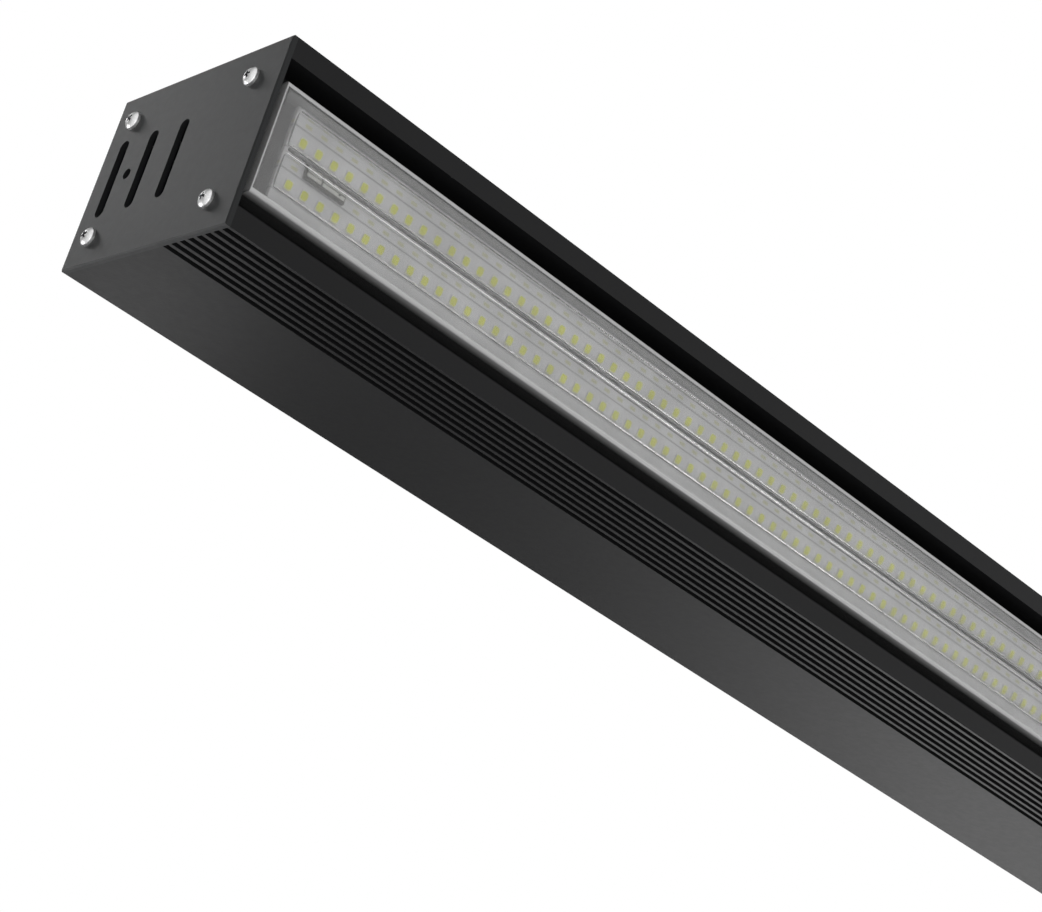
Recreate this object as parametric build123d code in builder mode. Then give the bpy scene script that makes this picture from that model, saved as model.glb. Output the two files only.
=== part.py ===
"""Linear high bay light: a finned aluminium extrusion that holds a lit channel below and a driver
compartment above, closed by an end plate at each end.

X runs along the light, Y across it and Z upwards. The light hangs with its lens downwards, and
the origin is the centre of its lower rim.
"""
import os

from build123d import *

os.makedirs("parts", exist_ok=True)

# Overall sizes, in millimetres
length = 600.0
base_width = 70.0
crown_width = 67.0
height = 91.0
plate_thickness = 2.0
edge_softening = 0.5

# Extrusion walls
rim_width = 7.8
wall = 2.2
crown_thickness = 2.2
web_thickness = 3.0
relief_web = 3.8

# Side fins: grooves cut between thin fins, from the rim upwards
groove_count = 8
groove_width = 2.7
fin_thickness = 1.75
rim_lip = 1.5
groove_depth = 4.2

# Lit channel and the pedestal that carries the board
gutter_depth = 12.0
seat_height = 9.0
pedestal_width = 37.0
relief_width = 27.0
snap_groove_height = 1.0
snap_groove_depth = 0.7
snap_groove_rise = 1.0

# Driver compartment
shoulder_height = 36.0
boss_radius = 3.4
boss_bore = 2.9
boss_slit = 1.2
boss_stem = 2.4

# Suspension channel in the crown
channel_mouth = 8.6
channel_room = 14.0
channel_room_height = 4.0
channel_floor = 1.8
channel_wall = 2.0

# End plates
screw_spread = 45.6
lower_screw_height = 15.6
upper_screw_inset = 10.5
screw_hole = 3.8
slot_count = 3
slot_length = 30.0
slot_width = 4.8
slot_pitch = 17.0
sight_hole = 4.0

# Pan head self-tapping screws of the end plates
screw_head = 6.6
screw_head_height = 2.4
screw_dome = 1.0
screw_dome_slope = 50.0
screw_reach = 9.0
recess_width = 3.4
recess_blade = 0.9
recess_depth = 1.1

# Board and its parts
pad_thickness = 0.4
board_thickness = 1.6
board_width = 36.6
board_inset = 14.0
row_spacing = 15.4
row_margin = 2.6
led_pitch = 6.68
led_size = 3.0
led_height = 0.8
connector_length = 17.0
connector_width = 7.0
connector_height = 2.2
connector_inset = 17.5
connector_port = 1.6
connector_port_pitch = 3.0
connector_port_depth = 5.6
lead_slot_length = 11.0
lead_slot_width = 3.6

# Lens cover
lens_inset = 2.4
lens_rim_gap = 0.6
lens_skirt = 1.6
lens_softening = 0.8
lens_face = 2.0
lens_end_wall = 1.8
lens_end_band = 8.0
lens_fit = 0.2
bead_size = 0.5
optic_width = 12.4
optic_shoulder = 0.6
optic_lean = 0.5
optic_rise = 0.7
vee_width = 0.6
vee_depth = 0.3
parting_width = 1.4
parting_depth = 1.0
skirt_overlap = 2.6

# Driver on its tray
tray_thickness = 1.5
tray_fit = 0.3
tray_end_gap = 6.0
driver_length = 280.0
driver_width = 44.0
driver_height = 29.0
driver_wall = 1.2
driver_lid_thickness = 1.0
driver_gap = 80.0
driver_block_length = 12.0
driver_block_width = 30.0
driver_block_height = 14.0
driver_poles = 4
driver_pole_pitch = 7.5
driver_port_length = 3.8
driver_port_width = 2.6
driver_port_depth = 4.6
driver_tab = 12.0
driver_tab_width = 22.0
tray_screw_radius = 1.9
tray_screw_flats = 5.5
tray_screw_head_height = 2.0
tray_screw_reach = 3.0

# Mains terminal and earth stud
mains_inset = 108.0
mains_length = 20.0
mains_pole_pitch = 10.0
mains_poles = 3
mains_height = 16.0
mains_well_pitch = 10.0
mains_well_length = 4.4
mains_well_width = 2.8
mains_well_depth = 5.4
mains_wire_hole = 4.0
mains_wire_level = 5.4
mains_wire_depth = 6.6
mains_foot = 3.4
earth_inset = 73.0
earth_thread = 4.0
earth_flats = 7.0
earth_head_height = 2.8
earth_nut_height = 3.2
earth_reach = 10.0
earth_clearance = 0.2

# Cable entry: a rubber grommet in the far end plate
entry_inset = 36.0
entry_hole = 14.0
entry_bore = 8.0
entry_flange = 20.0
entry_flange_height = 2.0
entry_fit = 0.2

# Suspension nuts
nut_inset = 100.0
nut_length = 18.0
nut_fit = 0.4
nut_bore = 5.0

# Grommet of the lead slot
grommet_flange = 1.6
grommet_flange_height = 1.2
grommet_wall = 0.6
grommet_fit = 0.1

# Values worked out from the sizes above
half_length = length / 2
body_length = length - 2 * plate_thickness
base_half = base_width / 2
crown_half = crown_width / 2
channel_half = base_half - rim_width
web_top = gutter_depth + web_thickness
relief_floor = seat_height + relief_web
crown_inside = height - crown_thickness
upper_screw_height = height - upper_screw_inset
entry_height = height - entry_inset
seat_plane = Plane.YZ.offset(-body_length / 2)
groove_pitch = groove_width + fin_thickness
board_face = seat_height - pad_thickness - board_thickness
board_length = length - 2 * board_inset
lens_length = body_length - 2 * lens_inset
lens_half = pedestal_width / 2 + lens_fit + lens_skirt
lens_face_top = lens_rim_gap + lens_face
connector_x = connector_inset - board_length / 2
led_count = int((board_length - 2 * row_margin - led_size) // led_pitch) + 1
mains_x = body_length / 2 - mains_inset
earth_x = body_length / 2 - earth_inset
driver_x = mains_x - mains_length / 2 - driver_gap - driver_length / 2
nut_x = half_length - nut_inset
tray_floor = shoulder_height + tray_thickness
tray_length = body_length - 2 * tray_end_gap
tray_half = base_half - (base_half - crown_half) * tray_floor / height - wall - tray_fit


def side_at(level):
    """Half the width of the housing at a height above the rim."""
    return base_half - (base_half - crown_half) * level / height


def across(*pairs):
    """The given places and their mirror images on the other side of the light."""
    return [(side * y, z) for y, z in pairs for side in (-1, 1)]


screw_places = across((screw_spread / 2, lower_screw_height), (screw_spread / 2, upper_screw_height))
driver_tab_reach = (driver_length + driver_tab) / 2
tray_screw_places = [(driver_x + side * driver_tab_reach, 0) for side in (-1, 1)]
mains_foot_places = [(mains_x, side * mains_pole_pitch / 2) for side in (-1, 1)]

# The trapezoid that the extrusion and both end plates share
with BuildSketch() as outline:
    with BuildLine():
        Polyline(
            (base_half, 0), (crown_half, height), (-crown_half, height), (-base_half, 0), close=True
        )
    make_face()

# Housing: one extruded profile with fins, pedestal, bosses and suspension channel
with BuildPart() as housing_extrusion:
    with BuildSketch(seat_plane):
        add(outline.sketch)
        # Lit channel, with the board's pedestal left standing in it
        Rectangle(2 * channel_half, gutter_depth, align=(Align.CENTER, Align.MIN), mode=Mode.SUBTRACT)
        with Locations((0, seat_height)):
            Rectangle(pedestal_width, gutter_depth - seat_height, align=(Align.CENTER, Align.MIN))
        # Snap grooves along the pedestal for the lens cover's beads
        with Locations(*across((pedestal_width / 2, seat_height + snap_groove_rise))):
            Rectangle(
                2 * snap_groove_depth,
                snap_groove_height,
                align=(Align.CENTER, Align.MIN),
                mode=Mode.SUBTRACT,
            )
        # Grooves between the side fins
        for index in range(groove_count):
            level = rim_lip + index * groove_pitch
            with Locations(*across((side_at(level), level))):
                Rectangle(
                    2 * groove_depth, groove_width, align=(Align.CENTER, Align.MIN), mode=Mode.SUBTRACT
                )
        # Driver compartment: a narrow lower part, then the full width above the tray's shoulder
        with Locations((0, web_top)):
            Rectangle(
                2 * channel_half,
                shoulder_height - web_top,
                align=(Align.CENTER, Align.MIN),
                mode=Mode.SUBTRACT,
            )
        with Locations((0, relief_floor)):
            Rectangle(
                relief_width, web_top - relief_floor, align=(Align.CENTER, Align.MIN), mode=Mode.SUBTRACT
            )
        low, high = side_at(shoulder_height) - wall, side_at(crown_inside) - wall
        with BuildLine():
            Polyline(
                (low, shoulder_height),
                (high, crown_inside),
                (-high, crown_inside),
                (-low, shoulder_height),
                close=True,
            )
        make_face(mode=Mode.SUBTRACT)
        # Suspension channel
        channel_block = channel_floor + channel_room_height + crown_thickness
        with Locations((0, height - channel_block)):
            Rectangle(channel_room + 2 * channel_wall, channel_block, align=(Align.CENTER, Align.MIN))
        with Locations((0, crown_inside - channel_room_height)):
            Rectangle(
                channel_room, channel_room_height, align=(Align.CENTER, Align.MIN), mode=Mode.SUBTRACT
            )
        with Locations((0, crown_inside)):
            Rectangle(
                channel_mouth, crown_thickness, align=(Align.CENTER, Align.MIN), mode=Mode.SUBTRACT
            )
        # Screw bosses, the upper ones on stems from the crown
        with Locations(*across((screw_spread / 2, upper_screw_height))):
            Rectangle(boss_stem, crown_inside - upper_screw_height, align=(Align.CENTER, Align.MIN))
        with Locations(*screw_places):
            Circle(boss_radius)
        with Locations(*screw_places):
            Circle(boss_bore / 2, mode=Mode.SUBTRACT)
        for side in (-1, 1):
            with Locations((side * screw_spread / 2, upper_screw_height)):
                Rectangle(
                    boss_slit, boss_radius, align=(Align.CENTER, Align.MAX), mode=Mode.SUBTRACT
                )
            with Locations((side * screw_spread / 2, lower_screw_height)):
                Rectangle(
                    boss_slit, boss_radius, align=(Align.CENTER, Align.MIN), mode=Mode.SUBTRACT
                )
    extrude(amount=body_length)
    # Slot for the leads, under the board's connector
    with BuildSketch(Plane.XY.offset(seat_height)):
        with Locations((connector_x, 0)):
            Rectangle(lead_slot_length, lead_slot_width)
    extrude(amount=relief_floor - seat_height, mode=Mode.SUBTRACT)
housing_extrusion.part.label = "housing_extrusion"
export_step(housing_extrusion.part, "parts/housing_extrusion.step")

# End plate at the near end: three vent slots and a small sight hole
with BuildPart() as end_plate_near:
    with BuildSketch(Plane.YZ.offset(-half_length)):
        add(outline.sketch)
        with Locations(*screw_places):
            Circle(screw_hole / 2, mode=Mode.SUBTRACT)
        with Locations(*[(0, upper_screw_height - k * slot_pitch) for k in range(slot_count)]):
            SlotOverall(slot_length, slot_width, mode=Mode.SUBTRACT)
        with Locations((0, upper_screw_height - slot_pitch / 2)):
            Circle(sight_hole / 2, mode=Mode.SUBTRACT)
    extrude(amount=plate_thickness)
    chamfer(end_plate_near.faces().sort_by(Axis.X)[0].outer_wire().edges(), edge_softening)
end_plate_near.part.label = "end_plate_near"
export_step(end_plate_near.part, "parts/end_plate_near.step")

# End plate at the far end: one vent slot above the cable entry
with BuildPart() as end_plate_far:
    with BuildSketch(Plane.YZ.offset(half_length - plate_thickness)):
        add(outline.sketch)
        with Locations(*screw_places):
            Circle(screw_hole / 2, mode=Mode.SUBTRACT)
        with Locations((0, upper_screw_height)):
            SlotOverall(slot_length, slot_width, mode=Mode.SUBTRACT)
        with Locations((0, entry_height)):
            Circle(entry_hole / 2, mode=Mode.SUBTRACT)
    extrude(amount=plate_thickness)
    chamfer(end_plate_far.faces().sort_by(Axis.X)[-1].outer_wire().edges(), edge_softening)
end_plate_far.part.label = "end_plate_far"
export_step(end_plate_far.part, "parts/end_plate_far.step")

# Pan head screws with cross recesses, seated on the outer faces of both end plates
with BuildPart() as end_plate_screws:
    for outward in (-1, 1):
        for y, z in screw_places:
            seat = Plane(origin=(outward * half_length, y, z), x_dir=(0, 1, 0), z_dir=(outward, 0, 0))
            with BuildSketch(seat):
                Circle(screw_head / 2)
            extrude(amount=screw_head_height - screw_dome)
            with BuildSketch(seat.offset(screw_head_height - screw_dome)):
                Circle(screw_head / 2)
            extrude(amount=screw_dome, taper=screw_dome_slope)
            with BuildSketch(seat.offset(screw_head_height - recess_depth)):
                Rectangle(recess_width, recess_blade)
                Rectangle(recess_blade, recess_width)
            extrude(amount=recess_depth, mode=Mode.SUBTRACT)
            with BuildSketch(seat):
                Circle(boss_bore / 2)
            extrude(amount=-screw_reach)
end_plate_screws.part.label = "end_plate_screws"
export_step(end_plate_screws.part, "parts/end_plate_screws.step")

# Thermal pad between the pedestal and the board
with BuildPart() as thermal_pad:
    with BuildSketch(Plane.XY.offset(seat_height)):
        Rectangle(board_length, board_width)
        with Locations((connector_x, 0)):
            Rectangle(lead_slot_length, lead_slot_width, mode=Mode.SUBTRACT)
    extrude(amount=-pad_thickness)
thermal_pad.part.label = "thermal_pad"
export_step(thermal_pad.part, "parts/thermal_pad.step")

# Board
with BuildPart() as led_board:
    with BuildSketch(Plane.XY.offset(seat_height - pad_thickness)):
        Rectangle(board_length, board_width)
        with Locations((connector_x, 0)):
            Rectangle(lead_slot_length, lead_slot_width, mode=Mode.SUBTRACT)
    extrude(amount=-board_thickness)
led_board.part.label = "led_board"
export_step(led_board.part, "parts/led_board.step")

# Two rows of LEDs on the board's lower face
for name, side in (("led_row_left", 1), ("led_row_right", -1)):
    with BuildPart() as led_row:
        with BuildSketch(Plane.XY.offset(board_face)):
            with Locations((0, side * row_spacing / 2)):
                with GridLocations(led_pitch, led_pitch, led_count, 1):
                    Rectangle(led_size, led_size)
        extrude(amount=-led_height)
    led_row.part.label = name
    export_step(led_row.part, f"parts/{name}.step")

# Connector on the board, with two lead ports open to its end
with BuildPart() as board_connector:
    with BuildSketch(Plane.XY.offset(board_face)):
        with Locations((connector_x, 0)):
            Rectangle(connector_length, connector_width)
    extrude(amount=-connector_height)
    with BuildSketch(board_connector.faces().sort_by(Axis.X)[0]):
        with Locations((-connector_port_pitch / 2, 0), (connector_port_pitch / 2, 0)):
            Circle(connector_port / 2)
    extrude(amount=-connector_port_depth, mode=Mode.SUBTRACT)
board_connector.part.label = "board_connector"
export_step(board_connector.part, "parts/board_connector.step")

# Lens cover: a clear channel with end walls, snapped over the pedestal
with BuildPart() as lens_cover:
    with BuildSketch(Plane.YZ.offset(-lens_length / 2)):
        skirt_top = seat_height + skirt_overlap
        with Locations((0, lens_rim_gap)):
            Rectangle(2 * lens_half, skirt_top - lens_rim_gap, align=(Align.CENTER, Align.MIN))
        with Locations((0, lens_face_top)):
            Rectangle(
                2 * (lens_half - lens_skirt),
                skirt_top - lens_face_top,
                align=(Align.CENTER, Align.MIN),
                mode=Mode.SUBTRACT,
            )
        # Beads that snap into the pedestal's grooves
        bead_rise = seat_height + snap_groove_rise + snap_groove_height / 2
        with Locations(*across((lens_half - lens_skirt, bead_rise))):
            Circle(bead_size)
    extrude(amount=lens_length)
    # Rounded lower edges along both sides
    lower_edges = lens_cover.edges().filter_by(Axis.X).group_by(Axis.Z)[0].sort_by(Axis.Y)
    fillet([lower_edges[0], lower_edges[-1]], lens_softening)
    # End walls, which stop just under the pedestal
    with BuildSketch(Plane.XY.offset(lens_face_top)):
        with GridLocations(lens_length - lens_end_wall, 0, 2, 1):
            Rectangle(lens_end_wall, 2 * (lens_half - lens_skirt))
    extrude(amount=seat_height - lens_fit - lens_face_top)
    # One long domed optic over each row, short of the plain bands at both ends
    optic_span = lens_length - 2 * lens_end_band
    shoulder_top = lens_face_top + optic_shoulder
    with BuildSketch(Plane.YZ.offset(-optic_span / 2)):
        for side in (-1, 1):
            centre, foot = side * row_spacing / 2, optic_width / 2
            left, right = centre - foot + optic_lean, centre + foot - optic_lean
            with BuildLine():
                Polyline(
                    (left, shoulder_top),
                    (centre - foot, lens_face_top),
                    (centre + foot, lens_face_top),
                    (right, shoulder_top),
                )
                SagittaArc((right, shoulder_top), (left, shoulder_top), -optic_rise)
            make_face()
    extrude(amount=optic_span)
    # Vees in the outer face: a deep one between the optics and fine ones under their feet
    vees = [(0, parting_width, parting_depth)]
    for side in (-1, 1):
        vees += [(side * (row_spacing + k * optic_width) / 2, vee_width, vee_depth) for k in (-1, 1)]
    with BuildSketch(Plane.YZ.offset(-optic_span / 2)):
        for y, width, depth in vees:
            foot_left, foot_right = (y - width / 2, lens_rim_gap), (y + width / 2, lens_rim_gap)
            with BuildLine():
                Polyline(foot_left, (y, lens_rim_gap + depth), foot_right, close=True)
            make_face()
    extrude(amount=optic_span, mode=Mode.SUBTRACT)
lens_cover.part.label = "lens_cover"
export_step(lens_cover.part, "parts/lens_cover.step")

# Driver tray on the shoulders of the compartment
with BuildPart() as driver_tray:
    with BuildSketch(Plane.XY.offset(shoulder_height)):
        Rectangle(tray_length, 2 * tray_half)
        with Locations(*tray_screw_places):
            Circle(tray_screw_radius, mode=Mode.SUBTRACT)
        with Locations(*mains_foot_places):
            Rectangle(mains_foot, mains_foot, mode=Mode.SUBTRACT)
        with Locations((earth_x, 0)):
            Circle(earth_thread / 2 + earth_clearance, mode=Mode.SUBTRACT)
        with Locations((connector_x, 0)):
            Rectangle(
                lead_slot_length + 2 * grommet_flange,
                lead_slot_width + 2 * grommet_flange,
                mode=Mode.SUBTRACT,
            )
    extrude(amount=tray_thickness)
driver_tray.part.label = "driver_tray"
export_step(driver_tray.part, "parts/driver_tray.step")

# Driver case: an open-topped metal box with a fixing tab at each end
with BuildPart() as driver_case:
    with BuildSketch(Plane.XY.offset(tray_floor)):
        with Locations((driver_x, 0)):
            Rectangle(driver_length, driver_width)
    extrude(amount=driver_height)
    with BuildSketch(Plane.XY.offset(tray_floor + driver_wall)):
        with Locations((driver_x, 0)):
            Rectangle(driver_length - 2 * driver_wall, driver_width - 2 * driver_wall)
    extrude(amount=driver_height, mode=Mode.SUBTRACT)
    with BuildSketch(Plane.XY.offset(tray_floor)):
        with Locations(*tray_screw_places):
            Rectangle(driver_tab, driver_tab_width)
            Circle(tray_screw_radius, mode=Mode.SUBTRACT)
    extrude(amount=driver_wall)
driver_case.part.label = "driver_case"
export_step(driver_case.part, "parts/driver_case.step")

# Driver lid
with BuildPart() as driver_lid:
    with BuildSketch(Plane.XY.offset(tray_floor + driver_height)):
        with Locations((driver_x, 0)):
            Rectangle(driver_length, driver_width)
    extrude(amount=driver_lid_thickness)
driver_lid.part.label = "driver_lid"
export_step(driver_lid.part, "parts/driver_lid.step")

# Driver terminals with push-in ports, inside each end of the case
for name, side in (("driver_output_terminal", -1), ("driver_input_terminal", 1)):
    block_x = driver_x + side * (driver_length / 2 - driver_wall - driver_block_length / 2)
    with BuildPart() as driver_terminal:
        with BuildSketch(Plane.XY.offset(tray_floor + driver_wall)):
            with Locations((block_x, 0)):
                Rectangle(driver_block_length, driver_block_width)
        extrude(amount=driver_block_height)
        with BuildSketch(Plane.XY.offset(tray_floor + driver_wall + driver_block_height)):
            with Locations((block_x, 0)):
                with GridLocations(driver_pole_pitch, driver_pole_pitch, 1, driver_poles):
                    Rectangle(driver_port_length, driver_port_width)
        extrude(amount=-driver_port_depth, mode=Mode.SUBTRACT)
    driver_terminal.part.label = name
    export_step(driver_terminal.part, f"parts/{name}.step")

# Hexagon screws that hold the driver's tabs to the tray
with BuildPart() as tray_screws:
    with BuildSketch(Plane.XY.offset(tray_floor + driver_wall)):
        with Locations(*tray_screw_places):
            RegularPolygon(tray_screw_flats / 2, 6, major_radius=False)
    extrude(amount=tray_screw_head_height)
    with BuildSketch(Plane.XY.offset(tray_floor + driver_wall)):
        with Locations(*tray_screw_places):
            Circle(tray_screw_radius)
    extrude(amount=-(driver_wall + tray_screw_reach))
tray_screws.part.label = "tray_screws"
export_step(tray_screws.part, "parts/tray_screws.step")

# Mains terminal block on the tray
with BuildPart() as mains_terminal:
    with BuildSketch(Plane.XY.offset(tray_floor)):
        with Locations((mains_x, 0)):
            Rectangle(mains_length, mains_poles * mains_pole_pitch)
    extrude(amount=mains_height)
    with BuildSketch(Plane.XY.offset(tray_floor + mains_height)):
        with Locations((mains_x, 0)):
            with GridLocations(mains_well_pitch, mains_pole_pitch, 2, mains_poles):
                Rectangle(mains_well_length, mains_well_width)
    extrude(amount=-mains_well_depth, mode=Mode.SUBTRACT)
    for side in (-1, 1):
        face_x = mains_x + side * mains_length / 2
        with BuildSketch(Plane(origin=(face_x, 0, tray_floor + mains_wire_level), z_dir=(-side, 0, 0))):
            with GridLocations(mains_pole_pitch, mains_pole_pitch, 1, mains_poles):
                Rectangle(mains_wire_hole, mains_wire_hole)
        extrude(amount=mains_wire_depth, mode=Mode.SUBTRACT)
    # Square feet that press into the tray
    with BuildSketch(Plane.XY.offset(tray_floor)):
        with Locations(*mains_foot_places):
            Rectangle(mains_foot, mains_foot)
    extrude(amount=-tray_thickness)
mains_terminal.part.label = "mains_terminal"
export_step(mains_terminal.part, "parts/mains_terminal.step")

# Hexagon earth stud up through the tray, and its nut
with BuildPart() as earth_stud:
    with BuildSketch(Plane.XY.offset(shoulder_height)):
        with Locations((earth_x, 0)):
            RegularPolygon(earth_flats / 2, 6, major_radius=False)
    extrude(amount=-earth_head_height)
    with BuildSketch(Plane.XY.offset(shoulder_height)):
        with Locations((earth_x, 0)):
            Circle(earth_thread / 2)
    extrude(amount=earth_reach)
earth_stud.part.label = "earth_stud"
export_step(earth_stud.part, "parts/earth_stud.step")

with BuildPart() as earth_nut:
    with BuildSketch(Plane.XY.offset(tray_floor)):
        with Locations((earth_x, 0)):
            RegularPolygon(earth_flats / 2, 6, major_radius=False)
            Circle(earth_thread / 2, mode=Mode.SUBTRACT)
    extrude(amount=earth_nut_height)
earth_nut.part.label = "earth_nut"
export_step(earth_nut.part, "parts/earth_nut.step")

# Cable entry: a grommet with a flange on each side of the far end plate, around one bore
entry_seat = Plane(origin=(half_length, 0, entry_height), x_dir=(0, 1, 0), z_dir=(1, 0, 0))
with BuildPart() as cable_grommet:
    for seat, rise in ((entry_seat, 1), (entry_seat.offset(-plate_thickness), -1)):
        with BuildSketch(seat):
            Circle(entry_flange / 2)
        extrude(amount=rise * entry_flange_height)
    with BuildSketch(entry_seat):
        Circle(entry_hole / 2 - entry_fit)
    extrude(amount=-plate_thickness)
    with BuildSketch(entry_seat.offset(entry_flange_height)):
        Circle(entry_bore / 2)
    extrude(amount=-(plate_thickness + 2 * entry_flange_height), mode=Mode.SUBTRACT)
cable_grommet.part.label = "cable_grommet"
export_step(cable_grommet.part, "parts/cable_grommet.step")

# Suspension nuts in the crown channel, one for each hanging point
for name, side in (("suspension_nut_near", -1), ("suspension_nut_far", 1)):
    with BuildPart() as suspension_nut:
        with BuildSketch(Plane.XY.offset(crown_inside)):
            with Locations((side * nut_x, 0)):
                Rectangle(nut_length, channel_room - nut_fit)
                Circle(nut_bore / 2, mode=Mode.SUBTRACT)
        extrude(amount=-(channel_room_height - nut_fit))
        with BuildSketch(Plane.XY.offset(crown_inside)):
            with Locations((side * nut_x, 0)):
                Rectangle(nut_length, channel_mouth - nut_fit)
                Circle(nut_bore / 2, mode=Mode.SUBTRACT)
        extrude(amount=crown_thickness)
    suspension_nut.part.label = name
    export_step(suspension_nut.part, f"parts/{name}.step")

# Grommet in the lead slot of the web
with BuildPart() as lead_grommet:
    with BuildSketch(Plane.XY.offset(relief_floor)):
        with Locations((connector_x, 0)):
            Rectangle(lead_slot_length + 2 * grommet_flange, lead_slot_width + 2 * grommet_flange)
    extrude(amount=grommet_flange_height)
    with BuildSketch(Plane.XY.offset(relief_floor)):
        with Locations((connector_x, 0)):
            Rectangle(lead_slot_length - 2 * grommet_fit, lead_slot_width - 2 * grommet_fit)
    extrude(amount=-(relief_floor - seat_height))
    inner_length = lead_slot_length - 2 * (grommet_fit + grommet_wall)
    inner_width = lead_slot_width - 2 * (grommet_fit + grommet_wall)
    with BuildSketch(Plane.XY.offset(relief_floor + grommet_flange_height)):
        with Locations((connector_x, 0)):
            Rectangle(inner_length, inner_width)
    extrude(amount=-(relief_floor - seat_height + grommet_flange_height), mode=Mode.SUBTRACT)
lead_grommet.part.label = "lead_grommet"
export_step(lead_grommet.part, "parts/lead_grommet.step")
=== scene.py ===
"""Linear high bay light: finishes, fine parts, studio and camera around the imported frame.

X runs along the light, Y across it and Z upwards, in metres. The lens faces down, so the camera
looks up at the light from below its near end.
"""
from __future__ import annotations

import logging
import math
from dataclasses import dataclass
from enum import Enum
from itertools import product

import bmesh
import bpy
from mathutils import Matrix, Vector

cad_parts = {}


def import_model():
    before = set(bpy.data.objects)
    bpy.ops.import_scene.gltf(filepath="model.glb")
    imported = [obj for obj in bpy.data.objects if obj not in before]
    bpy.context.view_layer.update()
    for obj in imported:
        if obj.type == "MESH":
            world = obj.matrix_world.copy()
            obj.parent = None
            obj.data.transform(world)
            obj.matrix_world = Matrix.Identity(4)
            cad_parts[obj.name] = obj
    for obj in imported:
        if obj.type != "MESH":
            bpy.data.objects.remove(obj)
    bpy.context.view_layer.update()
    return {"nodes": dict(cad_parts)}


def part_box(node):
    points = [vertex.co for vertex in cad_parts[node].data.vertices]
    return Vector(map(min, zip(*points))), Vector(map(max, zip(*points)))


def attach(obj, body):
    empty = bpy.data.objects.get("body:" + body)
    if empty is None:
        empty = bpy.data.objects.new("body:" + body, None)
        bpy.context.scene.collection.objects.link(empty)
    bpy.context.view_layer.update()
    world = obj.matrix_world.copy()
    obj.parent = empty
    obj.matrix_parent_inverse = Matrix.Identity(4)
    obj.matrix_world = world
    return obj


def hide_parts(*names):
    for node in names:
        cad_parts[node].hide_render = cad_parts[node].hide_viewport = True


LOG = logging.getLogger("high_bay_light")
MM = 0.001
BODY = "root"
MATHS = "ShaderNodeMath"
RANGE = "ShaderNodeMapRange"
WHITE = (1.0, 1.0, 1.0, 1.0)
LED_COUNT = 85
LED_SIZE = 3.0 * MM
NOISE_DETAIL = 2.0
# Most of the noise lies between these values, so they stand for its darkest and lightest blotches.
NOISE_LIMITS = (0.3, 0.7)
Axes = tuple[float, float, float]
Ring = list[bmesh.types.BMVert]


class Slot(Enum):
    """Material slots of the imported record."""

    ZINC = "zinc_steel"
    PHOSPHOR = "led_phosphor"
    NYLON = "white_nylon"


class End(Enum):
    """The two ends of the light, by the sign of their outward X."""

    NEAR = -1
    FAR = 1


def linear(hex_colour: str, alpha: float = 1.0) -> tuple[float, float, float, float]:
    """Turn an sRGB hex colour into linear values.

    Args:
        hex_colour: Colour such as "#1a2b3c".
        alpha: Alpha to append.

    Returns:
        Linear red, green and blue, and the alpha.
    """
    shares = [int(hex_colour[i : i + 2], 16) / 255 for i in (1, 3, 5)]
    red, green, blue = (c / 12.92 if c <= 0.04045 else ((c + 0.055) / 1.055) ** 2.4 for c in shares)
    return red, green, blue, alpha


def add_node(
    tree: bpy.types.NodeTree,
    kind: str,
    inputs: dict[str | int, object] | None = None,
    **settings: object,
) -> bpy.types.Node:
    """Add one shader node with its settings, input values and links.

    Args:
        tree: Node tree that takes the node.
        kind: Type name of the node.
        inputs: Values, output sockets or nodes by input name or index.
        **settings: Properties of the node.

    Returns:
        The new node.
    """
    node = tree.nodes.new(kind)
    for name, value in settings.items():
        setattr(node, name, value)
    for key, value in (inputs or {}).items():
        if isinstance(value, bpy.types.Node):
            value = value.outputs[0]
        if isinstance(value, bpy.types.NodeSocket):
            tree.links.new(value, node.inputs[key])
        else:
            node.inputs[key].default_value = value
    return node


def blank_material(name: str) -> tuple[bpy.types.Material, bpy.types.NodeTree, bpy.types.Node]:
    """Make an empty node material.

    Args:
        name: Name of the material.

    Returns:
        The material, its node tree and its output node.
    """
    material = bpy.data.materials.new(name)
    material.use_nodes = True
    tree = material.node_tree
    tree.nodes.clear()
    return material, tree, tree.nodes.new("ShaderNodeOutputMaterial")


def ray_is(tree: bpy.types.NodeTree, *kinds: str) -> bpy.types.NodeSocket:
    """Tell whether a ray is of one of some kinds.

    Args:
        tree: Node tree that asks.
        *kinds: Names of the kinds, such as "Is Camera Ray".

    Returns:
        The socket whose value is 1 for such a ray and 0 for any other.
    """
    path = add_node(tree, "ShaderNodeLightPath").outputs
    found = path[kinds[0]]
    for kind in kinds[1:]:
        found = add_node(tree, MATHS, {0: found, 1: path[kind]}, operation="MAXIMUM").outputs[0]
    return found


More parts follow.
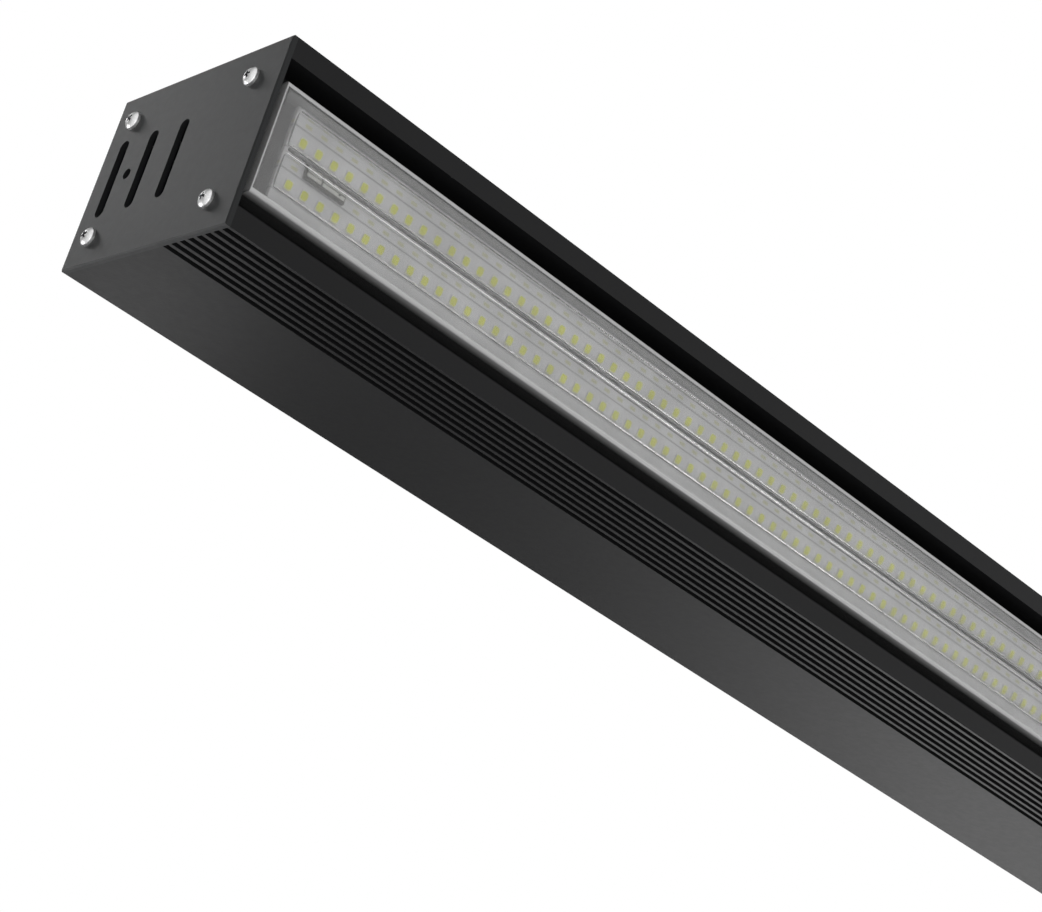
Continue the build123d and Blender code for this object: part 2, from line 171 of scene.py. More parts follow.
class Surface:
    """One material in the making: its node tree and the patterns that are laid over it."""

    def __init__(self, name: str) -> None:
        """Open an empty material whose patterns are measured in millimetres.

        Args:
            name: Name of the material.
        """
        self.material, self.tree, self.output = blank_material(name)
        here = add_node(self.tree, "ShaderNodeTexCoord").outputs["Object"]
        scaled = {0: here, 3: 1 / MM}
        self.where = add_node(self.tree, "ShaderNodeVectorMath", scaled, operation="SCALE")

    def add(self, kind: str, *values: object, **settings: object) -> bpy.types.Node:
        """Add one node to the material.

        Args:
            kind: Type name of the node.
            *values: Numbers, nodes and sockets for its first inputs, in order.
            **settings: Properties of the node.

        Returns:
            The new node.
        """
        return add_node(self.tree, kind, dict(enumerate(values)), **settings)

    def mottle(
        self, size_mm: float, low: float, high: float, stretch: Axes | None = None
    ) -> bpy.types.Node:
        """Lay a soft random pattern over the surface.

        Args:
            size_mm: Width of its blotches.
            low: Value in the darkest blotches.
            high: Value in the lightest blotches.
            stretch: How much to squeeze each axis before the pattern, so that it runs in lines.

        Returns:
            The node with the pattern's value.
        """
        where = self.where
        if stretch:
            where = self.add("ShaderNodeVectorMath", where, stretch, operation="MULTIPLY")
        settings = {"Vector": where, "Scale": 1 / size_mm, "Detail": NOISE_DETAIL}
        noise = add_node(self.tree, "ShaderNodeTexNoise", settings)
        return self.add(RANGE, noise.outputs["Fac"], *NOISE_LIMITS, low, high)

    def tint(self, share: bpy.types.Node, first: object, second: object) -> bpy.types.NodeSocket:
        """Go from one colour to another.

        Args:
            share: Node whose value runs from 0, all first, to 1, all second.
            first: Hex colour or colour socket at 0.
            second: Hex colour or colour socket at 1.

        Returns:
            The colour between them.
        """
        first, second = (linear(c) if isinstance(c, str) else c for c in (first, second))
        colours = {0: share, 6: first, 7: second}
        return add_node(self.tree, "ShaderNodeMix", colours, data_type="RGBA").outputs[2]

    def relief(self, pattern: bpy.types.Node, depth_mm: float) -> bpy.types.Node:
        """Raise a pattern out of the surface.

        Args:
            pattern: Node whose value runs from 0 to 1.
            depth_mm: Height of the relief.

        Returns:
            The node with the bumped normal.
        """
        raised = {"Height": pattern, "Distance": depth_mm * MM}
        return add_node(self.tree, "ShaderNodeBump", raised)

    def close(self, **inputs: object) -> bpy.types.Material:
        """Finish the material with a surface shader.

        Args:
            **inputs: Values and nodes by the shader's input names, with _ for a space.

        Returns:
            The material.
        """
        named = {name.replace("_", " "): value for name, value in inputs.items()}
        shader = add_node(self.tree, "ShaderNodeBsdfPrincipled", named)
        self.tree.links.new(shader.outputs[0], self.output.inputs[0])
        return self.material


@dataclass(frozen=True)
class PowderCoat:
    """Polyester powder coat, sprayed and baked on aluminium.

    Its orange peel, about a millimetre wide, breaks the reflections up, so the eye gets a satin
    black with no mirror image. A slow drift in colour stands for the coat's uneven thickness.
    """

    name: str
    colour: str = "#141415"
    drift_colour: str = "#171718"
    roughness: float = 0.46
    specular: float = 0.14
    gloss_drift: float = 0.015
    gloss_mm: float = 2.7
    peel_mm: float = 0.9
    peel_depth_mm: float = 0.007
    drift_mm: float = 90.0

    def build(self) -> bpy.types.Material:
        """Return the finished material."""
        coat = Surface(self.name)
        low, high = self.roughness - self.gloss_drift, self.roughness + self.gloss_drift
        return coat.close(
            Base_Color=coat.tint(
                coat.mottle(self.drift_mm, 0.0, 1.0), self.colour, self.drift_colour
            ),
            Roughness=coat.mottle(self.gloss_mm, low, high),
            Specular_IOR_Level=self.specular,
            Normal=coat.relief(coat.mottle(self.peel_mm, 0.0, 1.0), self.peel_depth_mm),
        )


@dataclass(frozen=True)
class Metal:
    """Rolled, turned or plated metal.

    A fine mottle in colour and gloss, for the marks that its rolling, turning or plating leaves,
    gives the eye a slightly uneven shine. The real marks are finer and are drawn half a millimetre
    wide, so that they show. On galvanised sheet the mottle is its spangle, 6 mm wide.
    """

    name: str
    colour: str
    mark_colour: str
    roughness: float = 0.25
    mark_mm: float = 0.5
    gloss_below: float = 0.05
    gloss_above: float = 0.08

    def build(self) -> bpy.types.Material:
        """Return the finished material."""
        metal = Surface(self.name)
        low, high = self.roughness - self.gloss_below, self.roughness + self.gloss_above
        return metal.close(
            Base_Color=metal.tint(
                metal.mottle(self.mark_mm, 0.0, 1.0), self.mark_colour, self.colour
            ),
            Metallic=1.0,
            Roughness=metal.mottle(self.mark_mm, low, high),
        )


@dataclass(frozen=True)
class Moulded:
    """Moulded plastic, rubber or silicone.

    The texture of its mould gives the eye a soft sheen with no sharp image, and its colour is
    faintly mottled. The texture is drawn 0.6 mm wide, coarser than a real mould's, so that it
    shows.
    """

    name: str
    colour: str
    shade_colour: str
    roughness: float = 0.5
    specular: float = 0.5
    gloss_drift: float = 0.05
    mottle_mm: float = 7.2
    gloss_mm: float = 2.4
    texture_mm: float = 0.6
    texture_depth_mm: float = 0.01

    def build(self) -> bpy.types.Material:
        """Return the finished material."""
        skin = Surface(self.name)
        low, high = self.roughness - self.gloss_drift, self.roughness + self.gloss_drift
        return skin.close(
            Base_Color=skin.tint(
                skin.mottle(self.mottle_mm, 0.0, 1.0), self.shade_colour, self.colour
            ),
            Roughness=skin.mottle(self.gloss_mm, low, high),
            Specular_IOR_Level=self.specular,
            Normal=skin.relief(skin.mottle(self.texture_mm, 0.0, 1.0), self.texture_depth_mm),
        )


@dataclass(frozen=True)
class SolderMask:
    """White solder mask, printed and cured over the copper of an aluminium board.

    It gives the eye an even, slightly glossy white. The copper's edges show through as thin grey
    lines beside each row. A row of dull yellow marks beside each row is painted light: the LEDs'
    image as the cover refracts it.
    """

    row_y_mm: float
    first_x_mm: float
    pitch_mm: float
    name: str = "white_solder_mask"
    colour: str = "#e2e2e3"
    shade_colour: str = "#dadadb"
    line_colour: str = "#8c8c8e"
    # Painted light: the colour of the LEDs' image, as the cover refracts it beside each row.
    painted_led_image_colour: str = "#cccca6"
    roughness: tuple[float, float] = (0.32, 0.42)
    mottle_mm: float = 9.0
    gloss_mm: float = 2.0
    line_offset_mm: float = 3.85
    line_mm: float = 0.45
    line_depth_mm: float = 0.03
    painted_led_image_offset_mm: float = 5.5
    painted_led_image_mm: tuple[float, float] = (2.7, 1.2)
    edge_mm: float = 0.15

    def bar(self, mask: Surface, value: object, width: float) -> bpy.types.Node:
        """Mark where a value lies within a bar around zero, with soft edges.

        Args:
            mask: Surface that the bar is drawn on.
            value: Node or socket whose value is tested.
            width: Width of the bar.

        Returns:
            The node whose value is 1 within the bar and 0 outside.
        """
        far = mask.add(MATHS, value, operation="ABSOLUTE")
        return mask.add(RANGE, far, width / 2 - self.edge_mm, width / 2 + self.edge_mm, 1.0, 0.0)

    def build(self) -> bpy.types.Material:
        """Return the finished material."""
        mask = Surface(self.name)
        x, y, _ = mask.add("ShaderNodeSeparateXYZ", mask.where).outputs
        side = mask.add(MATHS, y, operation="SIGN")
        row = mask.add(MATHS, side, self.row_y_mm, operation="MULTIPLY")
        off_row = mask.add(MATHS, y, row, operation="SUBTRACT")
        off_either = mask.add(MATHS, off_row, operation="ABSOLUTE")
        beside = mask.add(MATHS, off_either, self.line_offset_mm, operation="SUBTRACT")
        line = self.bar(mask, beside, self.line_mm)
        # The dull yellow marks below are painted light, the LEDs' refracted image, one per LED.
        from_first = mask.add(MATHS, x, self.first_x_mm, operation="SUBTRACT")
        half = self.pitch_mm / 2
        along = mask.add(MATHS, from_first, half, -half, operation="WRAP")
        across = mask.add(MATHS, off_row, self.painted_led_image_offset_mm, operation="ADD")
        long, wide = self.painted_led_image_mm
        ends, sides = self.bar(mask, along, long), self.bar(mask, across, wide)
        pad = mask.add(MATHS, ends, sides, operation="MULTIPLY")
        plain = mask.tint(mask.mottle(self.mottle_mm, 0.0, 1.0), self.shade_colour, self.colour)
        return mask.close(
            Base_Color=mask.tint(pad, mask.tint(line, plain, self.line_colour), self.painted_led_image_colour),
            Roughness=mask.mottle(self.gloss_mm, *self.roughness),
            Normal=mask.relief(line, self.line_depth_mm),
        )


@dataclass(frozen=True)
class ClearPolycarbonate:
    """Extruded polycarbonate, clear with a slight haze that softens what lies behind it.

    The die leaves lines along it, which draw the board's image out into streaks. They are finer on
    the real cover and are drawn 0.7 mm wide, so that they show. The real walls are most likely
    clear too. Here they are an opaque grey, chosen for the tones that the cover's sides have from
    outside, and the outer faces of the skirts carry painted shade that darkens them upwards, into
    the recess.
    """

    name: str = "clear_polycarbonate"
    colour: str = "#f2f2f2"
    haze_colour: str = "#e9e9e9"
    wall_colour: str = "#b2b2b2"
    painted_shade_colour: str = "#363636"
    # Distances from the middle at which each area begins and has fully set in.
    outer_mm: tuple[float, float] = (19.3, 20.0)
    skirt_mm: tuple[float, float] = (18.5, 19.1)
    end_mm: tuple[float, float] = (294.9, 295.6)
    # Heights between which the painted shade on the skirts' outer faces deepens.
    shade_fade_mm: tuple[float, float] = (0.3, 5.5)
    roughness: float = 0.14
    gloss_drift: float = 0.02
    gloss_mm: float = 5.0
    haze_mm: float = 14.0
    ior: float = 1.585
    clearness: float = 0.95
    wall_clearness: float = 0.0
    die_line_mm: float = 0.7
    die_line_run: Axes = (0.003, 1.0, 1.0)
    die_line_depth_mm: float = 0.004

    def build(self) -> bpy.types.Material:
        """Return the finished material."""
        cover = Surface(self.name)
        x, y, z = cover.add("ShaderNodeSeparateXYZ", cover.where).outputs
        off_x, off_y = (cover.add(MATHS, way, operation="ABSOLUTE") for way in (x, y))
        # Painted shade: the skirts' outer faces darken upwards, into the recess.
        outer = cover.add(RANGE, off_y, *self.outer_mm)
        risen = cover.add(RANGE, z, *self.shade_fade_mm)
        skirt_shade = cover.add(MATHS, outer, risen, operation="MULTIPLY")
        skirt = cover.add(RANGE, off_y, *self.skirt_mm)
        end = cover.add(RANGE, off_x, *self.end_mm)
        wall = cover.add(MATHS, skirt, end, operation="MAXIMUM")
        plain = cover.tint(cover.mottle(self.haze_mm, 0.0, 1.0), self.haze_colour, self.colour)
        lines = cover.mottle(self.die_line_mm, 0.0, 1.0, self.die_line_run)
        face = cover.add(MATHS, 1.0, skirt, operation="SUBTRACT")
        lines = cover.add(MATHS, lines, face, operation="MULTIPLY")
        low, high = self.roughness - self.gloss_drift, self.roughness + self.gloss_drift
        return cover.close(
            Base_Color=cover.tint(
                skirt_shade, cover.tint(wall, plain, self.wall_colour), self.painted_shade_colour
            ),
            Roughness=cover.mottle(self.gloss_mm, low, high),
            IOR=self.ior,
            Transmission_Weight=cover.add(
                RANGE, wall, 0.0, 1.0, self.clearness, self.wall_clearness
            ),
            Normal=cover.relief(lines, self.die_line_depth_mm),
        )


def paint(node: bpy.types.Object, material: bpy.types.Material) -> None:
    """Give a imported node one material.

    Args:
        node: Node that takes it.
        material: Its only material.
    """
    node.data.materials.clear()
    node.data.materials.append(material)
    LOG.info("%s: %s", node.name, material.name)


def make_piece(
    name: str, mesh: bmesh.types.BMesh, slot: Slot, *materials: bpy.types.Material
) -> bpy.types.Object:
    """Turn a mesh into a piece of the light.

    Args:
        name: Name of the piece.
        mesh: Its mesh in metres, freed here.
        slot: Record's slot for the piece; not used.
        *materials: Materials by the mesh's face index.

    Returns:
        The piece, riding on the body.
    """
    data = bpy.data.meshes.new(name)
    bmesh.ops.recalc_face_normals(mesh, faces=mesh.faces)
    mesh.to_mesh(data)
    mesh.free()
    for material in materials:
        data.materials.append(material)
    piece = bpy.data.objects.new(name, data)
    bpy.context.scene.collection.objects.link(piece)
    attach(piece, BODY)
    LOG.info("%s: %d faces", name, len(data.polygons))
    return piece


def ring_of(mesh: bmesh.types.BMesh, points: list[Vector]) -> Ring:
    """Add a ring of points to a mesh.

    Args:
        mesh: Mesh that takes them.
        points: Points in order.

    Returns:
        Their vertices.
    """
    return [mesh.verts.new(point) for point in points]


def join_rings(
    mesh: bmesh.types.BMesh, one: Ring, other: Ring, material: int = 0, smooth: bool = False
) -> None:
    """Close the band between two rings with quads.

    Args:
        mesh: Mesh that takes the faces.
        one: First ring of vertices.
        other: Second ring, of the same length.
        material: Index of the band's material.
        smooth: Whether the band is shaded smooth.
    """
    for k, vertex in enumerate(one):
        nxt = (k + 1) % len(one)
        face = mesh.faces.new((vertex, one[nxt], other[nxt], other[k]))
        face.material_index, face.smooth = material, smooth


def rounded_rectangle(
    long: float, wide: float, corner: float, steps: int = 1
) -> list[tuple[float, float]]:
    """Return the outline of a rectangle with rounded corners.

    Args:
        long: Half its length.
        wide: Half its width.
        corner: Radius of its corners.
        steps: Divisions of each corner.

    Returns:
        Its points in order.
    """
    points = []
    for quarter, (ahead, aside) in enumerate(((1, 1), (-1, 1), (-1, -1), (1, -1))):
        turn = math.pi / 2 * quarter
        cx, cy = (long - corner) * ahead, (wide - corner) * aside
        for step in range(steps + 1):
            angle = turn + math.pi / 2 * step / steps
            points.append((cx + corner * math.cos(angle), cy + corner * math.sin(angle)))
    return points


@dataclass
class LedRow:
    """One row of LED packages: a white moulded case around a sunk window of yellow phosphor."""

    node: str
    case: bpy.types.Material
    window: bpy.types.Material
    pitch: float
    count: int = LED_COUNT
    size: float = LED_SIZE
    window_length: float = 2.9 * MM
    window_width: float = 2.8 * MM
    window_corner: float = 0.5 * MM
    window_depth: float = 0.1 * MM
    proud: float = 0.5 * MM
    edge: float = 0.1 * MM

    def build(self) -> bpy.types.Object:
        """Return the row's packages as one piece."""
        low, high = (Vector(corner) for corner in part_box(self.node))
        mesh = bmesh.new()
        middle_y = (low.y + high.y) / 2
        for index in range(self.count):
            centre = Vector((low.x + self.size / 2 + index * self.pitch, middle_y, 0))
            self.package(mesh, centre, high.z - self.proud, high.z)
        piece = make_piece(f"{self.node}_packages", mesh, Slot.PHOSPHOR, self.case, self.window)
        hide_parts(self.node)
        return piece

    def package(self, mesh: bmesh.types.BMesh, centre: Vector, face: float, seat: float) -> None:
        """Add one package.

        Args:
            mesh: Mesh that takes it.
            centre: Its centre along and across the board.
            face: Height of its lit face.
            seat: Height of the board's face.
        """
        half, lip = self.size / 2, self.edge / 3
        long, wide = self.window_length / 2, self.window_width / 2
        outline = rounded_rectangle(half, half, self.edge)
        inner = rounded_rectangle(half - lip, half - lip, self.edge)
        window = rounded_rectangle(long, wide, self.window_corner)
        floor = rounded_rectangle(long - self.edge, wide - self.edge, self.window_corner)
        levels = (
            (outline, seat),
            (outline, face + lip),
            (inner, face),
            (window, face),
            (floor, face + self.window_depth),
        )
        rings = [
            ring_of(mesh, [centre + Vector((x, y, z)) for x, y in points]) for points, z in levels
        ]
        for one, other in zip(rings, rings[1:]):
            join_rings(mesh, one, other)
        mesh.faces.new(rings[0])
        mesh.faces.new(rings[-1]).material_index = 1


@dataclass
class PanHeadScrews:
    """The end plates' screws: domed pan heads with a tapered cross recess in painted shade."""

    head_finish: bpy.types.Material
    recess_shade_finish: bpy.types.Material
    node: str = "end_plate_screws"
    head: float = 6.6 * MM
    height: float = 2.4 * MM
    rim: float = 0.9 * MM
    spread: float = 45.6 * MM
    levels: tuple[float, float] = (15.6 * MM, 80.5 * MM)
    dome_angle: float = math.radians(62)
    dome_steps: int = 8
    steps: int = 40
    wing: float = 1.75 * MM
    blade: float = 0.52 * MM
    recess: float = 1.5 * MM
    cutter_rise: float = 0.4 * MM
    wing_taper: float = 0.45
    blade_taper: float = 0.7
    first_turn_deg: int = 17
    next_turn_deg: int = 31

    def build(self) -> bpy.types.Object:
        """Return all eight heads as one piece."""
        low, high = (Vector(corner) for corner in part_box(self.node))
        mesh = bmesh.new()
        for number, (end, side, level) in enumerate(product(End, (-1, 1), self.levels)):
            tip = Vector((low.x if end is End.NEAR else high.x, side * self.spread / 2, level))
            turn = math.radians(self.first_turn_deg + self.next_turn_deg * number)
            self.head_at(mesh, end, tip, turn)
        piece = make_piece(
            "pan_head_screws", mesh, Slot.ZINC, self.head_finish, self.recess_shade_finish
        )
        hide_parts(self.node)
        return piece

    def head_at(self, mesh: bmesh.types.BMesh, end: End, tip: Vector, turn: float) -> None:
        """Add one head.

        Args:
            mesh: Mesh that takes it.
            end: End of the light that it is on.
            tip: Centre of its crown.
            turn: Angle that its recess was left at.
        """
        cut = self.recessed(self.plain_head())
        spin = Matrix.Rotation(turn, 4, "X")
        face = Matrix.Rotation(0.0 if end is End.FAR else math.pi, 4, "Z")
        cut.transform(Matrix.Translation(tip) @ face @ spin)
        mesh.from_mesh(cut)
        bpy.data.meshes.remove(cut)

    def plain_head(self) -> bmesh.types.BMesh:
        """Return a head with no recess, whose crown is at the origin and faces +X."""
        head = bmesh.new()
        arc = [self.dome_angle * step / self.dome_steps for step in range(1, self.dome_steps + 1)]
        profile = [(math.sin(a) / math.sin(self.dome_angle), 1 - math.cos(a)) for a in arc]
        drop = (self.height - self.rim) / profile[-1][1]
        profile.append((1.0, self.height / drop))
        around = [math.tau * k / self.steps for k in range(self.steps)]
        rings = []
        for out, fall in profile:
            radius = self.head / 2 * out
            points = [(-fall * drop, radius * math.cos(a), radius * math.sin(a)) for a in around]
            rings.append(ring_of(head, [Vector(point) for point in points]))
        crown = head.verts.new((0, 0, 0))
        for k in range(self.steps):
            nxt = (k + 1) % self.steps
            head.faces.new((crown, rings[0][k], rings[0][nxt])).smooth = True
        for number, (ring, nxt) in enumerate(zip(rings, rings[1:])):
            join_rings(head, ring, nxt, smooth=number < len(rings) - 2)
        head.faces.new(rings[-1])
        bmesh.ops.recalc_face_normals(head, faces=head.faces)
        return head

    def tapered(self, place: float) -> float:
        """Narrow the recess from its mouth to its root.

        Args:
            place: A corner's distance from the head's axis, along one axis, at the mouth.

        Returns:
            The same at the root.
        """
        if abs(place) > self.blade:
            return place * (self.wing * self.wing_taper) / self.wing
        return place * self.blade_taper

    def cutter(self) -> bmesh.types.BMesh:
        """Return the cross that cuts the recess, with painted shade on all its faces."""
        cutter = bmesh.new()
        mouth = []
        for k in range(4):
            turn = Matrix.Rotation(math.pi / 2 * k, 2)
            for corner in ((self.wing, -self.blade), (self.wing, self.blade), (self.blade,) * 2):
                mouth.append(turn @ Vector(corner))
        top = ring_of(cutter, [Vector((self.cutter_rise, p.x, p.y)) for p in mouth])
        root = [Vector((-self.recess, self.tapered(p.x), self.tapered(p.y))) for p in mouth]
        base = ring_of(cutter, root)
        join_rings(cutter, top, base)
        cutter.faces.new(top)
        cutter.faces.new(base)
        bmesh.ops.recalc_face_normals(cutter, faces=cutter.faces)
        # The recess takes the second material: a darker zinc, painted shade inside it.
        for face in cutter.faces:
            face.material_index = 1
        return cutter

    def recessed(self, head: bmesh.types.BMesh) -> bpy.types.Mesh:
        """Cut the cross recess into a head whose crown is at the origin and faces +X.

        Args:
            head: Mesh of the plain head, freed here.

        Returns:
            The cut mesh.
        """
        solids = []
        for name, source in (("plain_head", head), ("recess_cutter", self.cutter())):
            data = bpy.data.meshes.new(name)
            source.to_mesh(data)
            source.free()
            for _ in range(2):
                data.materials.append(None)
            solids.append(bpy.data.objects.new(name, data))
            bpy.context.scene.collection.objects.link(solids[-1])
        plain, tool = solids
        boolean = plain.modifiers.new("recess", "BOOLEAN")
        boolean.object, boolean.solver, boolean.operation = tool, "EXACT", "DIFFERENCE"
        bpy.context.view_layer.update()
        made = plain.evaluated_get(bpy.context.evaluated_depsgraph_get())
        cut = bpy.data.meshes.new_from_object(made)
        for solid in solids:
            data = solid.data
            bpy.data.objects.remove(solid)
            bpy.data.meshes.remove(data)
        return cut


@dataclass
class LeadConnector:
    """Push-in lead connector: two nylon caps, and a block and ports in painted shade."""

    cap_finish: bpy.types.Material
    connector_shade_finish: bpy.types.Material
    node: str = "board_connector"
    edge: float = 0.25 * MM
    edge_steps: int = 2
    cap: float = 0.5 * MM
    margin: float = 1.1 * MM
    near_share: float = 0.38
    groove: float = 0.7 * MM
    port: float = 1.1 * MM
    port_proud: float = 0.0125 * MM
    port_places: tuple[float, float] = (3.2 * MM, 6.4 * MM)
    port_shares: tuple[float, float] = (0.3, 0.62)

    def build(self) -> bpy.types.Object:
        """Return the connector."""
        low, high = (Vector(corner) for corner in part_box(self.node))
        mesh = bmesh.new()
        # The block above the caps is painted shade, so that the connector's walls read dark.
        self.block(mesh, low + Vector((0, 0, self.cap)), high, 1)
        seam = low.x + (high.x - low.x) * self.near_share
        root = low.z + self.cap + self.edge
        spans = (
            (low.x + self.margin / 2, seam),
            (seam + self.groove, high.x - self.margin / 2),
        )
        for start, stop in spans:
            first = Vector((start, low.y + self.margin, low.z))
            self.block(mesh, first, Vector((stop, high.y - self.margin, root)))
        # The ports are small dark squares: painted shade for their openings.
        for place, share in zip(self.port_places, self.port_shares):
            across = low.y + (high.y - low.y) * share
            corner = Vector((seam + self.groove + place, across, low.z - self.port_proud))
            self.block(mesh, corner, corner + Vector((self.port, self.port, self.cap)), 1)
        piece = make_piece(
            "lead_connector", mesh, Slot.NYLON, self.cap_finish, self.connector_shade_finish
        )
        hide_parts(self.node)
        return piece

    def block(
        self, mesh: bmesh.types.BMesh, low: Vector, high: Vector, material: int = 0
    ) -> None:
        """Add one block with rounded edges.

        Args:
            mesh: Mesh that takes it.
            low: Its lowest corner.
            high: Its highest corner.
            material: Index of its material.
        """
        verts = bmesh.ops.create_cube(mesh, size=1.0)["verts"]
        size, middle = high - low, (high + low) / 2
        bmesh.ops.scale(mesh, vec=size, verts=verts)
        bmesh.ops.translate(mesh, vec=middle, verts=verts)
        faces = bmesh.ops.bevel(
            mesh,
            geom=list({edge for vertex in verts for edge in vertex.link_edges}),
            offset=min(self.edge, min(size) / 4),
            segments=self.edge_steps,
            affect="EDGES",
            profile=0.5,
        )["faces"]
        for face in {f for face in faces for v in face.verts for f in v.link_faces}:
            face.material_index = material


@dataclass
class Housing:
    """The extrusion and both end plates."""

    coat: PowderCoat = PowderCoat("black_powder_coat")
    # The plates' lighter copy of the black coat: partly their greyer tone, partly painted light.
    plate_coat_and_light: PowderCoat = PowderCoat("black_plate_coat", "#1d1e1f", "#212223", 0.5, 0.2)

    def dress(self, nodes: dict[str, bpy.types.Object]) -> None:
        """Give the extrusion and both plates their powder coat.

        Args:
            nodes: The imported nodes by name.
        """
        paint(nodes["housing_extrusion"], self.coat.build())
        plate = self.plate_coat_and_light.build()
        for name in ("end_plate_near", "end_plate_far"):
            paint(nodes[name], plate)


@dataclass
class Inside:
    """What the housing holds, and the end plates' screws."""

    zinc: Metal = Metal("bright_zinc", "#e6e7e8", "#bcbec0", 0.2)
    screw_zinc: Metal = Metal("bright_zinc_screws", "#fafafa", "#e2e2e2", 0.42)
    # Painted shade: a darker zinc for the screws' cross recesses.
    recess_shade_zinc: Metal = Metal("zinc_recess_painted_shade", "#77777a", "#5c5c5f", 0.55)
    aluminium: Metal = Metal("plain_aluminium", "#c4c6c8", "#a8aaac", 0.35)
    galvanised: Metal = Metal("galvanised_sheet", "#b9bcbe", "#8f9294", 0.4, 6.0)
    brass: Metal = Metal("plain_brass", "#d8b25c", "#b8923e", 0.3)
    rubber: Moulded = Moulded("black_rubber", "#161616", "#101010", 0.75, 0.3)
    polyamide: Moulded = Moulded("grey_polyamide", "#8c8e90", "#7e8082")
    pad: Moulded = Moulded("silicone_pad", "#6b6e70", "#606365", 0.7)
    nylon: Moulded = Moulded("white_nylon", "#e2e3dc", "#d6d7d0", 0.45)
    case: Moulded = Moulded("white_led_case", "#f0f0f0", "#e8e8e8", 0.4)
    phosphor: Moulded = Moulded("yellow_phosphor", "#e6ea00", "#dade00", 0.35)
    # Painted shade for the lead connector's walls and ports.
    connector_shade: Moulded = Moulded("connector_painted_shade", "#4a4a42", "#3c3c35", 0.6, 0.3)
    cover: ClearPolycarbonate = ClearPolycarbonate()

    def dress(self, nodes: dict[str, bpy.types.Object]) -> None:
        """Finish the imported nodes.

        Args:
            nodes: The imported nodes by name.
        """
        finishes = (
            (self.zinc, ("tray_screws", "suspension_nut_near", "suspension_nut_far")),
            (self.rubber, ("cable_grommet", "lead_grommet")),
            (self.aluminium, ("driver_case", "driver_lid")),
            (self.galvanised, ("driver_tray",)),
            (self.polyamide, ("driver_output_terminal", "driver_input_terminal", "mains_terminal")),
            (self.brass, ("earth_stud", "earth_nut")),
            (self.pad, ("thermal_pad",)),
            (self.cover, ("lens_cover",)),
        )
        for finish, names in finishes:
            material = finish.build()
            for name in names:
                paint(nodes[name], material)

    def build(self, nodes: dict[str, bpy.types.Object]) -> None:
        """Finish the board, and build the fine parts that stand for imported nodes.

        Args:
            nodes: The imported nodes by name.
        """
        low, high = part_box("led_row_left")
        pitch = (high[0] - low[0] - LED_SIZE) / (LED_COUNT - 1)
        row_y, first_x = (low[1] + high[1]) / 2, low[0] + LED_SIZE / 2
        paint(nodes["led_board"], SolderMask(row_y / MM, first_x / MM, pitch / MM).build())
        case, window = self.case.build(), self.phosphor.build()
        for name in ("led_row_left", "led_row_right"):
            LedRow(name, case, window, pitch).build()
        LeadConnector(self.nylon.build(), self.connector_shade.build()).build()
        PanHeadScrews(self.screw_zinc.build(), self.recess_shade_zinc.build()).build()


@dataclass(frozen=True)
class Softbox:
    """One square softbox: its centre, the point that it faces, its width and its power in watts."""

    name: str
    place: Axes
    aim: Axes
    width: float
    power: float

    def build(self) -> None:
        """Make the lamp and turn it to its aim."""
        data = bpy.data.lights.new(self.name, "AREA")
        data.size, data.energy = self.width, self.power
        lamp = bpy.data.objects.new(self.name, data)
        lamp.location = self.place
        lamp.rotation_mode = "QUATERNION"
        way = Vector(self.aim) - Vector(self.place)
        lamp.rotation_quaternion = way.to_track_quat("-Z", "Y")
        bpy.context.scene.collection.objects.link(lamp)


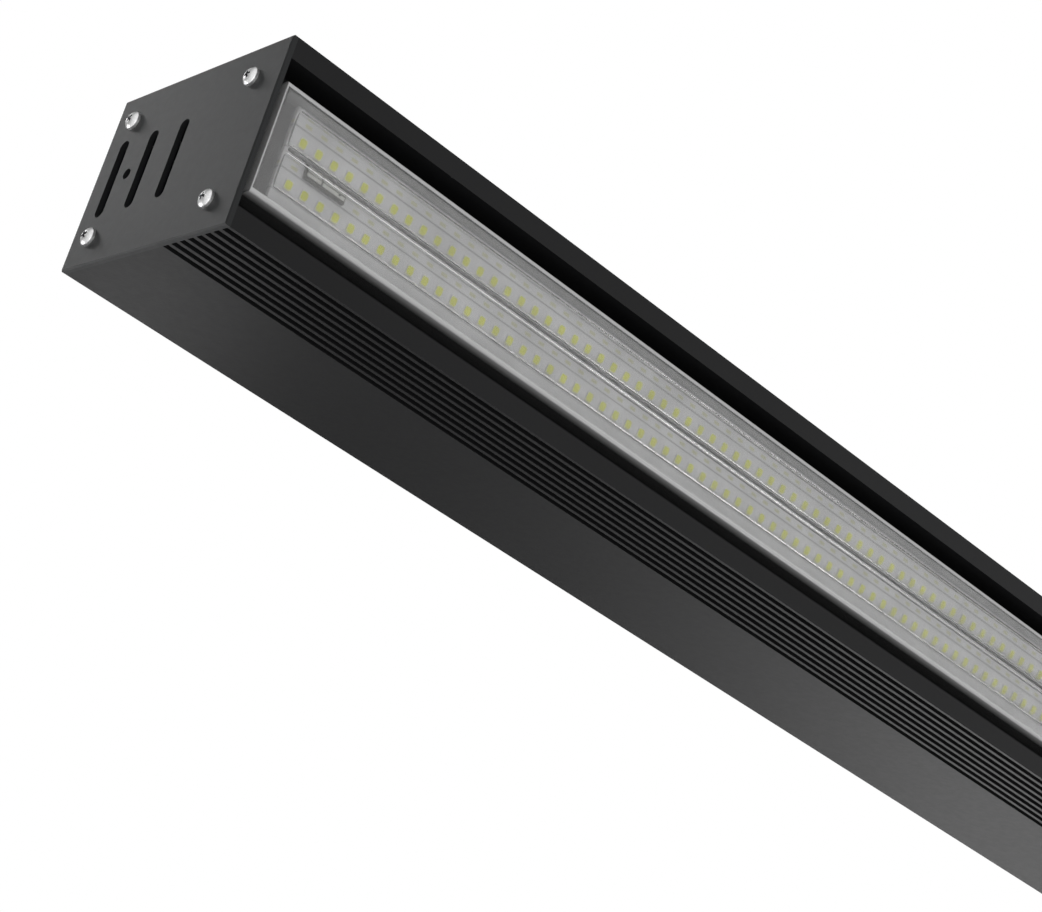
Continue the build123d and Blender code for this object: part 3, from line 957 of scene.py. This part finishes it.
@dataclass(frozen=True)
class Studio:
    """Pale floor far below the light, soft lamps and a white surround."""

    floor_drop: float = 2.6
    floor_span: float = 14.0
    floor_colour: str = "#e8e8e8"
    floor_roughness: float = 0.9
    world_light: float = 0.6
    # Reflections see a surround that is white at the horizon and dims to this, 30 degrees up.
    ceiling: float = 0.15
    ceiling_sine: float = 0.5
    lamps: tuple[Softbox, ...] = (
        Softbox("end_softbox", (-0.87, -1.14, 2.05), (-0.3, 0.0, 0.05), 0.6, 7.8),
        Softbox("corner_softbox", (-1.02, 0.69, 1.34), (-0.3, 0.0, 0.05), 0.5, 9.0),
        Softbox("near_lamp", (-0.178, 0.16, 0.284), (-0.31, 0.035, 0.05), 0.1, 0.07),
        Softbox("side_softbox", (1.7, 1.2, 1.0), (0.1, 0.0, 0.05), 1.2, 14.0),
        Softbox("strip_softbox", (1.12, 1.28, -0.79), (-0.08, 0.0, 0.0), 0.37, 3.2),
        Softbox("back_softbox", (0.9, -1.6, 1.3), (0.0, 0.0, 0.05), 1.2, 14.0),
        Softbox("low_softbox", (-0.6, 0.8, -1.6), (0.0, 0.0, 0.0), 1.4, 10.0),
    )

    def build(self) -> None:
        """Make the floor, the world and the lamps, in that order."""
        self.build_floor()
        self.build_world()
        for lamp in self.lamps:
            lamp.build()

    def build_floor(self) -> None:
        """Make the floor: plain white to the camera, in glass and in gloss, pale to other rays."""
        mesh = bpy.data.meshes.new("floor")
        half = self.floor_span / 2
        corners = ((-half, -half), (half, -half), (half, half), (-half, half))
        mesh.from_pydata([(x, y, -self.floor_drop) for x, y in corners], [], [(0, 1, 2, 3)])
        floor = bpy.data.objects.new("floor", mesh)
        bpy.context.scene.collection.objects.link(floor)
        material, tree, output = blank_material("pale_floor")
        matt = {"Base Color": linear(self.floor_colour), "Roughness": self.floor_roughness}
        pale = add_node(tree, "ShaderNodeBsdfPrincipled", matt)
        glow = add_node(tree, "ShaderNodeEmission", {"Color": WHITE, "Strength": 1.0})
        seen = ray_is(tree, "Is Camera Ray", "Is Transmission Ray", "Is Glossy Ray")
        mix = add_node(tree, "ShaderNodeMixShader", {0: seen, 1: pale, 2: glow})
        tree.links.new(mix.outputs[0], output.inputs[0])
        mesh.materials.append(material)

    def build_world(self) -> None:
        """Make the world: white to the camera and in glass, dimmer above in gloss, and a fill."""
        world = bpy.data.worlds.new("studio_white")
        world.use_nodes = True
        tree = world.node_tree
        tree.nodes.clear()
        seen = ray_is(tree, "Is Camera Ray", "Is Transmission Ray")
        glossy = ray_is(tree, "Is Glossy Ray")
        way = add_node(tree, "ShaderNodeTexCoord").outputs["Generated"]
        height = add_node(tree, "ShaderNodeSeparateXYZ", {0: way}).outputs[2]
        span = {0: height, 1: 0.0, 2: self.ceiling_sine, 3: 1.0, 4: self.ceiling}
        above = add_node(tree, RANGE, span)
        gloss = add_node(tree, MATHS, {0: glossy, 1: above}, operation="MULTIPLY")
        shown = add_node(tree, MATHS, {0: seen, 1: gloss}, operation="MAXIMUM")
        matt = add_node(tree, MATHS, {0: 1.0, 1: glossy}, operation="SUBTRACT")
        fill = add_node(tree, MATHS, {0: matt, 1: self.world_light}, operation="MULTIPLY")
        level = add_node(tree, MATHS, {0: shown, 1: fill}, operation="MAXIMUM")
        back = add_node(tree, "ShaderNodeBackground", {"Color": WHITE, "Strength": level})
        tree.links.new(back.outputs[0], add_node(tree, "ShaderNodeOutputWorld").inputs[0])
        bpy.context.scene.world = world


@dataclass(frozen=True)
class Viewpoint:
    """The camera, below and before the near end, rolled as in the photograph."""

    place: Axes = (-0.6437, 0.3747, -0.6059)
    aim: Axes = (-0.1312, 0.0209, 0.0439)
    up: Axes = (-0.4574, -0.8812, -0.1192)
    focal_mm: float = 87.94
    sensor_mm: float = 36.0

    def build(self) -> None:
        """Make the camera and set it as the scene's."""
        data = bpy.data.cameras.new("camera")
        data.lens, data.sensor_width = self.focal_mm, self.sensor_mm
        data.sensor_fit = "HORIZONTAL"
        camera = bpy.data.objects.new("camera", data)
        place = Vector(self.place)
        back = (place - Vector(self.aim)).normalized()
        right = Vector(self.up).cross(back).normalized()
        turn = Matrix((right, back.cross(right), back)).transposed()
        camera.matrix_world = Matrix.LocRotScale(place, turn, None)
        bpy.context.scene.collection.objects.link(camera)
        bpy.context.scene.camera = camera


def main() -> None:
    """Dress the frame, build the fine parts, and set the studio and the camera."""
    logging.basicConfig(level=logging.INFO, format="%(message)s")
    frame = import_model()
    nodes = frame["nodes"]
    Viewpoint().build()
    Housing().dress(nodes)
    inside = Inside()
    inside.dress(nodes)
    inside.build(nodes)
    Studio().build()
    bpy.context.scene.view_settings.view_transform = "Standard"


if __name__ == "__main__":
    main()
